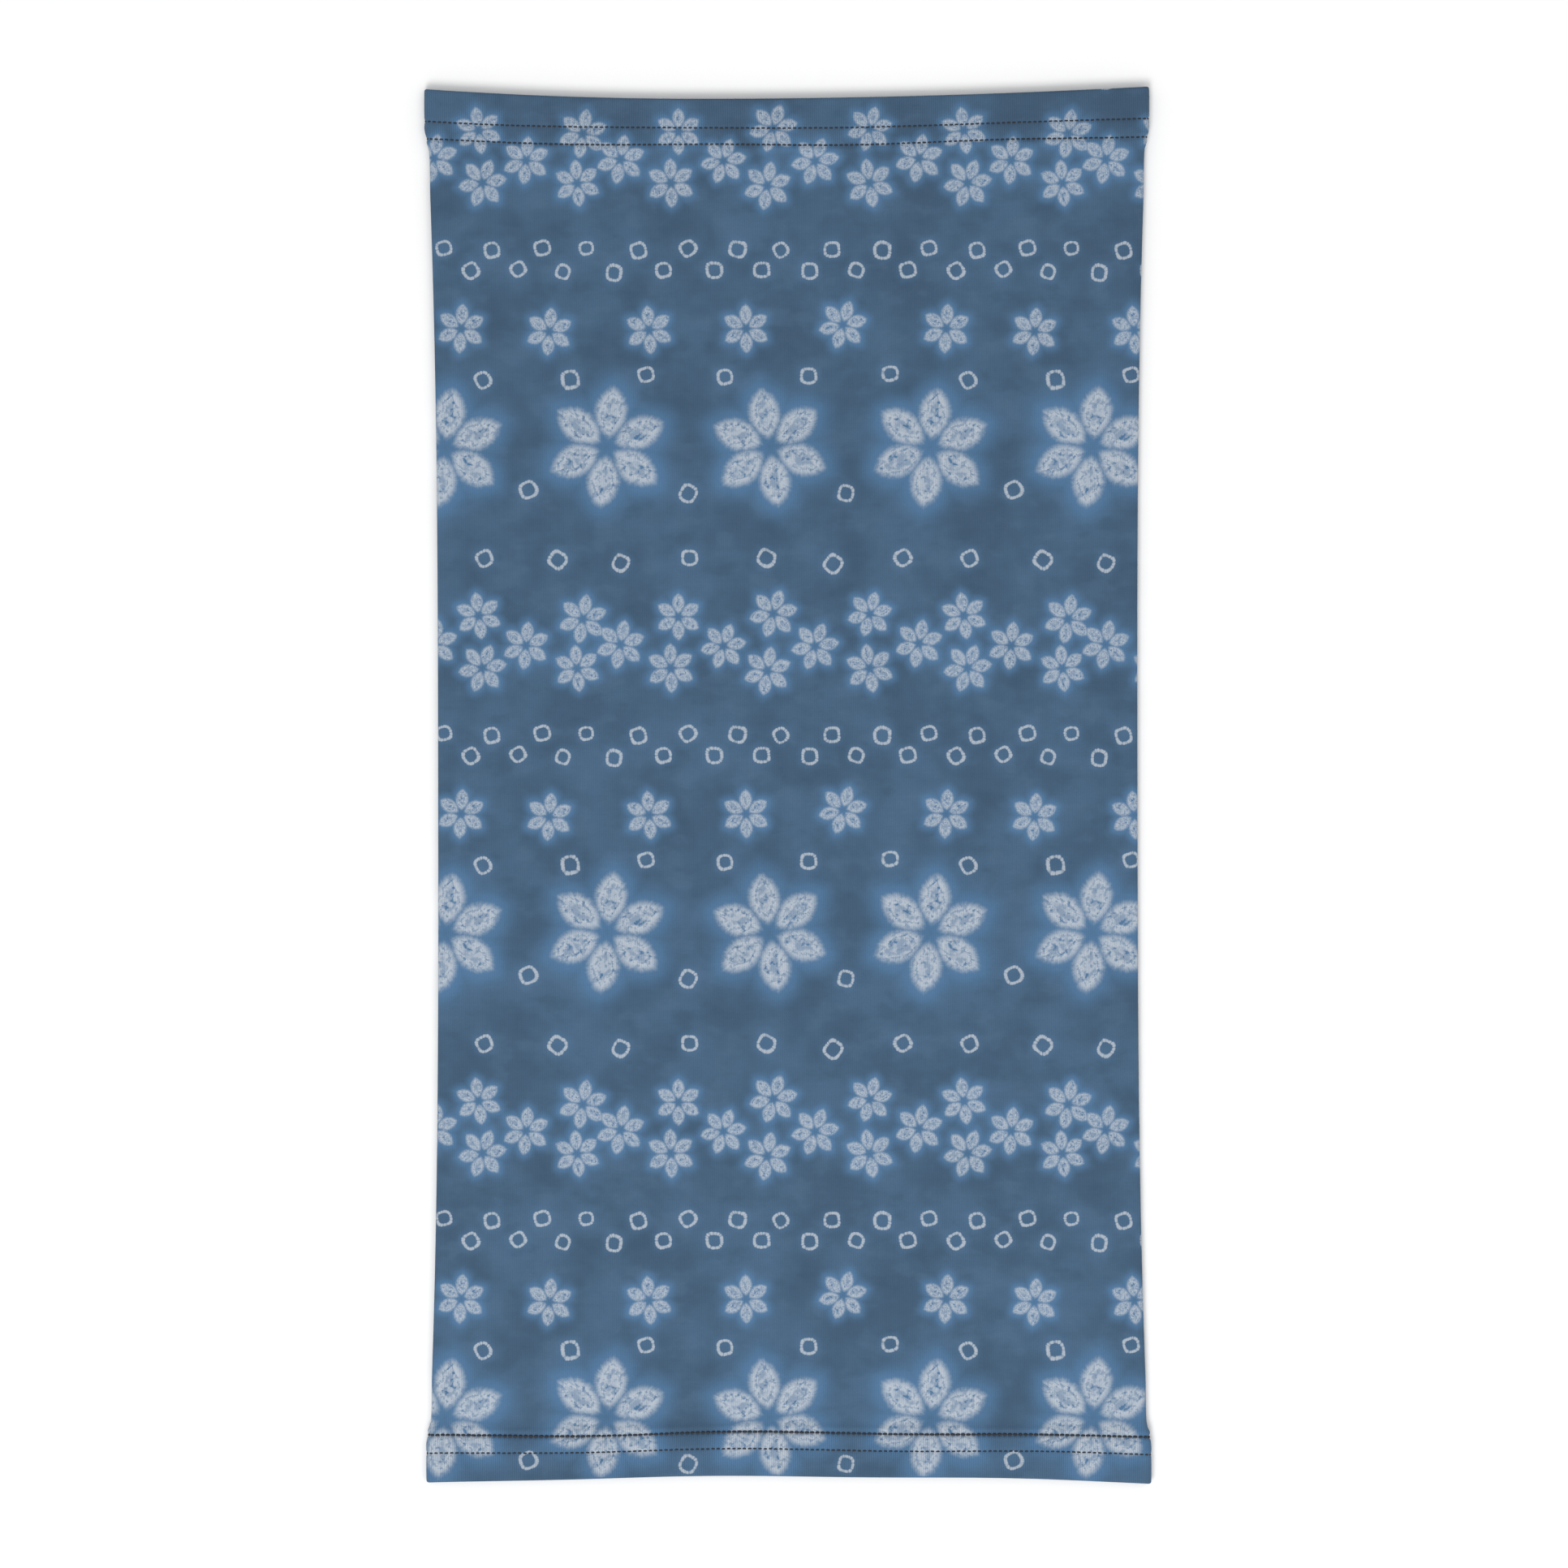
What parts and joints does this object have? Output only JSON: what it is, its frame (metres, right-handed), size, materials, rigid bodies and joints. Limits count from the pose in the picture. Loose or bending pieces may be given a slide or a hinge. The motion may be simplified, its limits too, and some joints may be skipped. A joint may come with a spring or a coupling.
{
  "type": "neck gaiter",
  "caption": "Flat-lying tube of stretch knit for the neck and face, with a coverstitched hem at each end and an overlocked back seam; the tube opens round.",
  "frame": {"origin": "centre of the footprint of the flat tube, on the face it lies on", "axes": "+Y along the tube towards the top hem, +X to the right as seen from the front, +Z out of the front layer"},
  "size_m": [0.254, 0.49, 0.0044],
  "materials": {
    "printed_knit": "matte",
    "hem_thread": "matte",
    "inside_thread": "matte"
  },
  "bodies": {
    "back_center": {"back_center_left_panel": "printed_knit", "back_center_right_panel": "printed_knit", "overlock_needle_threads": "inside_thread", "overlock_upper_looper": "inside_thread", "overlock_lower_looper": "inside_thread", "back_center_top_needle_threads": "hem_thread", "back_center_top_looper_thread": "inside_thread", "back_center_bottom_needle_threads": "hem_thread", "back_center_bottom_looper_thread": "inside_thread"},
    "back_left_inner": {"back_left_inner_panel": "printed_knit", "back_left_inner_top_needle_threads": "hem_thread", "back_left_inner_top_looper_thread": "inside_thread", "back_left_inner_bottom_needle_threads": "hem_thread", "back_left_inner_bottom_looper_thread": "inside_thread"},
    "back_left_outer": {"back_left_outer_panel": "printed_knit", "back_left_outer_top_needle_threads": "hem_thread", "back_left_outer_top_looper_thread": "inside_thread", "back_left_outer_bottom_needle_threads": "hem_thread", "back_left_outer_bottom_looper_thread": "inside_thread"},
    "back_right_inner": {"back_right_inner_panel": "printed_knit", "back_right_inner_top_needle_threads": "hem_thread", "back_right_inner_top_looper_thread": "inside_thread", "back_right_inner_bottom_needle_threads": "hem_thread", "back_right_inner_bottom_looper_thread": "inside_thread"},
    "back_right_outer": {"back_right_outer_panel": "printed_knit", "back_right_outer_top_needle_threads": "hem_thread", "back_right_outer_top_looper_thread": "inside_thread", "back_right_outer_bottom_needle_threads": "hem_thread", "back_right_outer_bottom_looper_thread": "inside_thread"},
    "front_left_outer": {"front_left_outer_panel": "printed_knit", "front_left_outer_top_needle_threads": "hem_thread", "front_left_outer_top_looper_thread": "inside_thread", "front_left_outer_bottom_needle_threads": "hem_thread", "front_left_outer_bottom_looper_thread": "inside_thread"},
    "front_left_inner": {"front_left_inner_panel": "printed_knit", "front_left_inner_top_needle_threads": "hem_thread", "front_left_inner_top_looper_thread": "inside_thread", "front_left_inner_bottom_needle_threads": "hem_thread", "front_left_inner_bottom_looper_thread": "inside_thread"},
    "front_right_outer": {"front_right_outer_panel": "printed_knit", "front_right_outer_top_needle_threads": "hem_thread", "front_right_outer_top_looper_thread": "inside_thread", "front_right_outer_bottom_needle_threads": "hem_thread", "front_right_outer_bottom_looper_thread": "inside_thread"},
    "front_right_inner": {"front_right_inner_panel": "printed_knit", "front_right_inner_top_needle_threads": "hem_thread", "front_right_inner_top_looper_thread": "inside_thread", "front_right_inner_bottom_needle_threads": "hem_thread", "front_right_inner_bottom_looper_thread": "inside_thread"},
    "front_center_left": {"front_center_left_panel": "printed_knit", "front_center_left_top_needle_threads": "hem_thread", "front_center_left_top_looper_thread": "inside_thread", "front_center_left_bottom_needle_threads": "hem_thread", "front_center_left_bottom_looper_thread": "inside_thread"},
    "front_center_right": {"front_center_right_panel": "printed_knit", "front_center_right_top_needle_threads": "hem_thread", "front_center_right_top_looper_thread": "inside_thread", "front_center_right_bottom_needle_threads": "hem_thread", "front_center_right_bottom_looper_thread": "inside_thread"}
  },
  "joints": [
    {"name": "tube_opening", "type": "hinge", "parent": "back_center", "child": "back_left_inner", "pos_m": [-0.0254, 0, 0.0019], "axis": [0, 1, 0], "range_deg": [0, 36]},
    {"name": "back_left_bend", "type": "hinge", "parent": "back_left_inner", "child": "back_left_outer", "pos_m": [-0.0762, 0, 0.0019], "axis": [0, 1, 0], "range_deg": [0, 36]},
    {"name": "left_side_fold", "type": "hinge", "parent": "back_left_outer", "child": "front_left_outer", "pos_m": [-0.127, 0, 0.0022], "axis": [0, -1, 0], "range_deg": [0, 144]},
    {"name": "front_left_bend", "type": "hinge", "parent": "front_left_outer", "child": "front_left_inner", "pos_m": [-0.0762, 0, 0.0025], "axis": [0, 1, 0], "range_deg": [0, 36]},
    {"name": "back_right_inner_bend", "type": "hinge", "parent": "back_center", "child": "back_right_inner", "pos_m": [0.0254, 0, 0.0019], "axis": [0, -1, 0], "range_deg": [0, 36]},
    {"name": "back_right_bend", "type": "hinge", "parent": "back_right_inner", "child": "back_right_outer", "pos_m": [0.0762, 0, 0.0019], "axis": [0, -1, 0], "range_deg": [0, 36]},
    {"name": "right_side_fold", "type": "hinge", "parent": "back_right_outer", "child": "front_right_outer", "pos_m": [0.127, 0, 0.0022], "axis": [0, 1, 0], "range_deg": [0, 144]},
    {"name": "front_right_bend", "type": "hinge", "parent": "front_right_outer", "child": "front_right_inner", "pos_m": [0.0762, 0, 0.0025], "axis": [0, -1, 0], "range_deg": [0, 36]},
    {"name": "front_center_right_bend", "type": "hinge", "parent": "front_right_inner", "child": "front_center_right", "pos_m": [0.0254, 0, 0.0025], "axis": [0, -1, 0], "range_deg": [0, 36]},
    {"name": "front_center_left_bend", "type": "hinge", "parent": "front_left_inner", "child": "front_center_left", "pos_m": [-0.0254, 0, 0.0025], "axis": [0, 1, 0], "range_deg": [0, 36]}
  ],
  "couplings": [
    {"joint": "back_left_bend", "follows": "tube_opening", "ratio": 1},
    {"joint": "left_side_fold", "follows": "tube_opening", "ratio": 4},
    {"joint": "front_left_bend", "follows": "tube_opening", "ratio": 1},
    {"joint": "back_right_inner_bend", "follows": "tube_opening", "ratio": 1},
    {"joint": "back_right_bend", "follows": "tube_opening", "ratio": 1},
    {"joint": "right_side_fold", "follows": "tube_opening", "ratio": 4},
    {"joint": "front_right_bend", "follows": "tube_opening", "ratio": 1},
    {"joint": "front_center_right_bend", "follows": "tube_opening", "ratio": 1},
    {"joint": "front_center_left_bend", "follows": "tube_opening", "ratio": 1}
  ]
}
